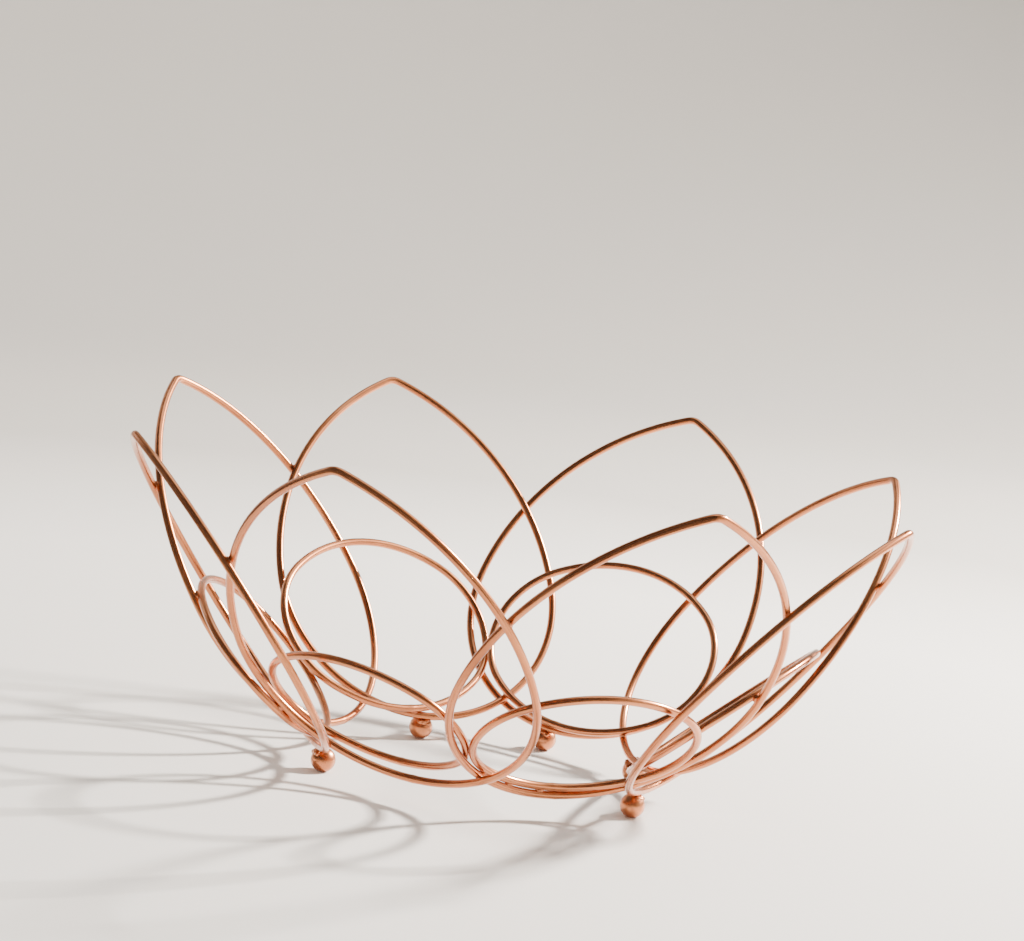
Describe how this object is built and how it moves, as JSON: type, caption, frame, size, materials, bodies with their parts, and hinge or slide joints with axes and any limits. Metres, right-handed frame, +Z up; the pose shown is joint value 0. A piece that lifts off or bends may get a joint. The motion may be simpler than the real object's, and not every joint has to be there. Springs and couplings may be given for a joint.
{
  "type": "wire produce basket",
  "caption": "Open flower-shaped produce basket of copper-coloured wire: leaning pointed petals, round loops nested inside them, on small ball feet.",
  "frame": {"origin": "middle of the basket's outline, on the floor under the feet", "axes": "+Z up, front is -Y, +X is the basket's right as seen from the front"},
  "size_m": [0.3082, 0.2926, 0.1416],
  "materials": {
    "petal_wire": "satin copper plating on steel wire",
    "loop_wire": "satin copper plating on steel wire",
    "ball_foot": "satin copper plating on steel balls",
    "weld_bead": "copper plating over weld beads"
  },
  "bodies": {
    "root": {"petal_left_front": "petal_wire", "petal_left_back": "petal_wire", "petal_back_left": "petal_wire", "petal_back_right": "petal_wire", "petal_right_back": "petal_wire", "petal_right_front": "petal_wire", "petal_front_right": "petal_wire", "petal_front_left": "petal_wire", "loop_left": "loop_wire", "loop_back_left": "loop_wire", "loop_back_right": "loop_wire", "loop_right": "loop_wire", "loop_front_right": "loop_wire", "loop_front_left": "loop_wire", "foot_left": "ball_foot", "foot_back_left": "ball_foot", "foot_back_right": "ball_foot", "foot_right": "ball_foot", "foot_front_right": "ball_foot", "weld_beads_low": "weld_bead", "weld_beads_high": "weld_bead", "weld_beads_loops": "weld_bead"}
  },
  "joints": []
}
